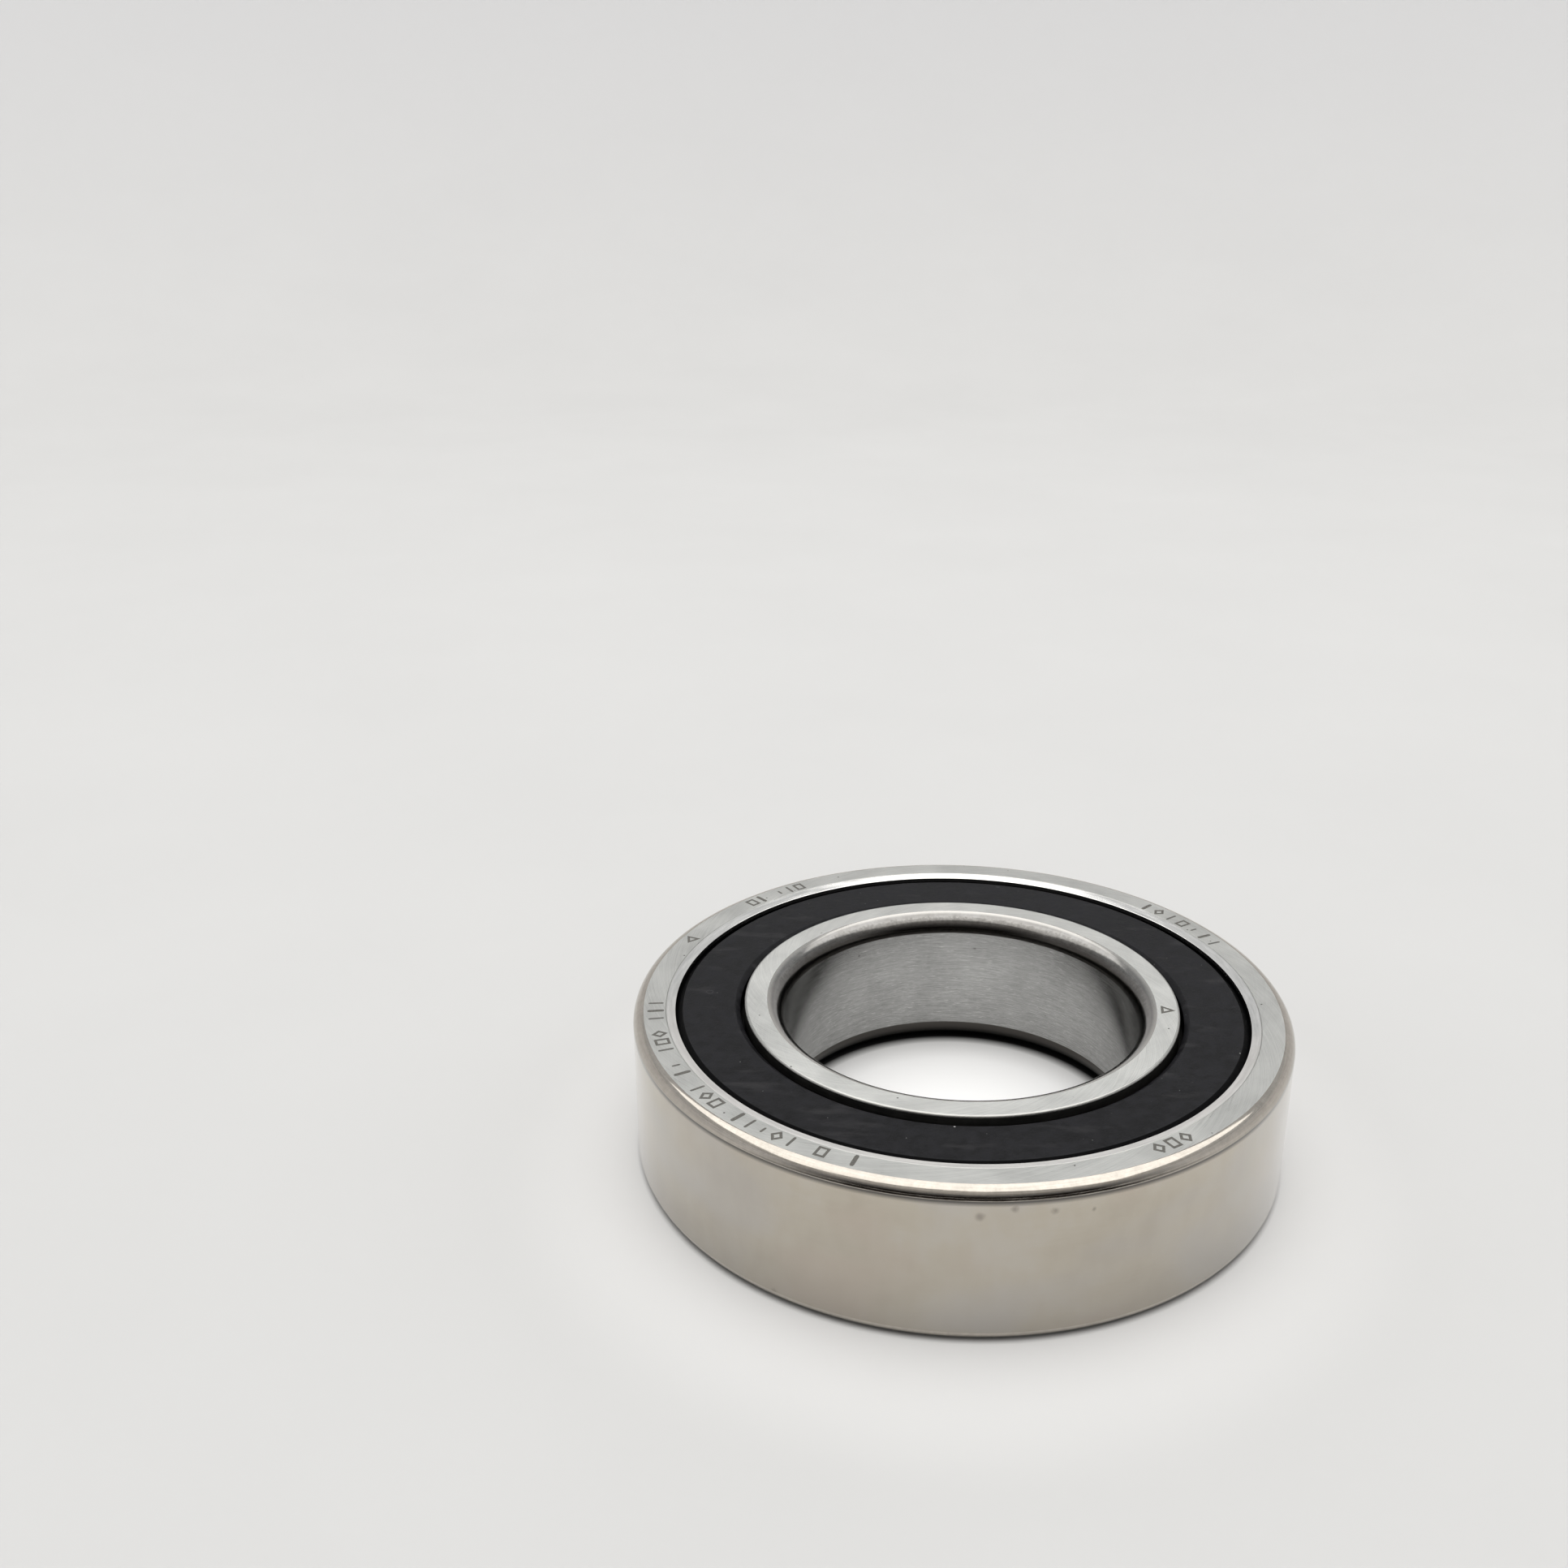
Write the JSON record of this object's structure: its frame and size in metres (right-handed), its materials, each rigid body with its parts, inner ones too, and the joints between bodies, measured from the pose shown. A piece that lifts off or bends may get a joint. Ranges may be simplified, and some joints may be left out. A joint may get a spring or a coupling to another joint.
{
  "type": "angular contact ball bearing",
  "caption": "Sealed angular contact ball bearing for a 30 mm shaft and a 55 mm housing bore, 13 mm wide, carrying radial load and thrust one way.",
  "frame": {"origin": "centre of the lower face, on the bearing's axis", "axes": "+Z along the bearing's axis towards the outer ring's wide (thrust) face, which is the upper one; +X through the centre of ball_01"},
  "size_m": [0.055, 0.055, 0.013],
  "materials": {
    "ring_steel": "ground and polished",
    "seal_rubber": "matte moulded",
    "insert_steel": "pressed sheet",
    "cage_phenolic": "machined fabric-reinforced resin",
    "ball_ceramic": "lapped, mirror smooth"
  },
  "bodies": {
    "outer": {"outer_ring": "ring_steel", "upper_seal_rubber": "seal_rubber", "upper_seal_insert": "insert_steel", "lower_seal_rubber": "seal_rubber", "lower_seal_insert": "insert_steel"},
    "inner": {"inner_ring": "ring_steel"},
    "cage": {"cage": "cage_phenolic"},
    "ball_01": {"ball_01": "ball_ceramic"},
    "ball_02": {"ball_02": "ball_ceramic"},
    "ball_03": {"ball_03": "ball_ceramic"},
    "ball_04": {"ball_04": "ball_ceramic"},
    "ball_05": {"ball_05": "ball_ceramic"},
    "ball_06": {"ball_06": "ball_ceramic"},
    "ball_07": {"ball_07": "ball_ceramic"},
    "ball_08": {"ball_08": "ball_ceramic"},
    "ball_09": {"ball_09": "ball_ceramic"},
    "ball_10": {"ball_10": "ball_ceramic"},
    "ball_11": {"ball_11": "ball_ceramic"},
    "ball_12": {"ball_12": "ball_ceramic"},
    "ball_13": {"ball_13": "ball_ceramic"},
    "ball_14": {"ball_14": "ball_ceramic"},
    "ball_15": {"ball_15": "ball_ceramic"},
    "ball_16": {"ball_16": "ball_ceramic"}
  },
  "joints": [
    {"name": "inner_spin", "type": "hinge", "parent": "outer", "child": "inner", "pos_m": [0, 0, 0.0065], "axis": [0, 0, 1], "continuous": true},
    {"name": "cage_orbit", "type": "hinge", "parent": "outer", "child": "cage", "pos_m": [0, 0, 0.0065], "axis": [0, 0, 1], "continuous": true},
    {"name": "ball_01_spin", "type": "hinge", "parent": "cage", "child": "ball_01", "pos_m": [0.02125, 0, 0.0065], "axis": [-0.2588, 0, 0.9659], "continuous": true},
    {"name": "ball_02_spin", "type": "hinge", "parent": "cage", "child": "ball_02", "pos_m": [0.01963, 0.00813, 0.0065], "axis": [-0.2391, -0.099, 0.9659], "continuous": true},
    {"name": "ball_03_spin", "type": "hinge", "parent": "cage", "child": "ball_03", "pos_m": [0.01503, 0.01503, 0.0065], "axis": [-0.183, -0.183, 0.9659], "continuous": true},
    {"name": "ball_04_spin", "type": "hinge", "parent": "cage", "child": "ball_04", "pos_m": [0.00813, 0.01963, 0.0065], "axis": [-0.099, -0.2391, 0.9659], "continuous": true},
    {"name": "ball_05_spin", "type": "hinge", "parent": "cage", "child": "ball_05", "pos_m": [0, 0.02125, 0.0065], "axis": [0, -0.2588, 0.9659], "continuous": true},
    {"name": "ball_06_spin", "type": "hinge", "parent": "cage", "child": "ball_06", "pos_m": [-0.00813, 0.01963, 0.0065], "axis": [0.099, -0.2391, 0.9659], "continuous": true},
    {"name": "ball_07_spin", "type": "hinge", "parent": "cage", "child": "ball_07", "pos_m": [-0.01503, 0.01503, 0.0065], "axis": [0.183, -0.183, 0.9659], "continuous": true},
    {"name": "ball_08_spin", "type": "hinge", "parent": "cage", "child": "ball_08", "pos_m": [-0.01963, 0.00813, 0.0065], "axis": [0.2391, -0.099, 0.9659], "continuous": true},
    {"name": "ball_09_spin", "type": "hinge", "parent": "cage", "child": "ball_09", "pos_m": [-0.02125, 0, 0.0065], "axis": [0.2588, 0, 0.9659], "continuous": true},
    {"name": "ball_10_spin", "type": "hinge", "parent": "cage", "child": "ball_10", "pos_m": [-0.01963, -0.00813, 0.0065], "axis": [0.2391, 0.099, 0.9659], "continuous": true},
    {"name": "ball_11_spin", "type": "hinge", "parent": "cage", "child": "ball_11", "pos_m": [-0.01503, -0.01503, 0.0065], "axis": [0.183, 0.183, 0.9659], "continuous": true},
    {"name": "ball_12_spin", "type": "hinge", "parent": "cage", "child": "ball_12", "pos_m": [-0.00813, -0.01963, 0.0065], "axis": [0.099, 0.2391, 0.9659], "continuous": true},
    {"name": "ball_13_spin", "type": "hinge", "parent": "cage", "child": "ball_13", "pos_m": [0, -0.02125, 0.0065], "axis": [0, 0.2588, 0.9659], "continuous": true},
    {"name": "ball_14_spin", "type": "hinge", "parent": "cage", "child": "ball_14", "pos_m": [0.00813, -0.01963, 0.0065], "axis": [-0.099, 0.2391, 0.9659], "continuous": true},
    {"name": "ball_15_spin", "type": "hinge", "parent": "cage", "child": "ball_15", "pos_m": [0.01503, -0.01503, 0.0065], "axis": [-0.183, 0.183, 0.9659], "continuous": true},
    {"name": "ball_16_spin", "type": "hinge", "parent": "cage", "child": "ball_16", "pos_m": [0.01963, -0.00813, 0.0065], "axis": [-0.2391, 0.099, 0.9659], "continuous": true}
  ],
  "couplings": [
    {"joint": "cage_orbit", "follows": "inner_spin", "ratio": 0.42784},
    {"joint": "ball_01_spin", "follows": "inner_spin", "ratio": -3.2768},
    {"joint": "ball_02_spin", "follows": "inner_spin", "ratio": -3.2768},
    {"joint": "ball_03_spin", "follows": "inner_spin", "ratio": -3.2768},
    {"joint": "ball_04_spin", "follows": "inner_spin", "ratio": -3.2768},
    {"joint": "ball_05_spin", "follows": "inner_spin", "ratio": -3.2768},
    {"joint": "ball_06_spin", "follows": "inner_spin", "ratio": -3.2768},
    {"joint": "ball_07_spin", "follows": "inner_spin", "ratio": -3.2768},
    {"joint": "ball_08_spin", "follows": "inner_spin", "ratio": -3.2768},
    {"joint": "ball_09_spin", "follows": "inner_spin", "ratio": -3.2768},
    {"joint": "ball_10_spin", "follows": "inner_spin", "ratio": -3.2768},
    {"joint": "ball_11_spin", "follows": "inner_spin", "ratio": -3.2768},
    {"joint": "ball_12_spin", "follows": "inner_spin", "ratio": -3.2768},
    {"joint": "ball_13_spin", "follows": "inner_spin", "ratio": -3.2768},
    {"joint": "ball_14_spin", "follows": "inner_spin", "ratio": -3.2768},
    {"joint": "ball_15_spin", "follows": "inner_spin", "ratio": -3.2768},
    {"joint": "ball_16_spin", "follows": "inner_spin", "ratio": -3.2768}
  ]
}
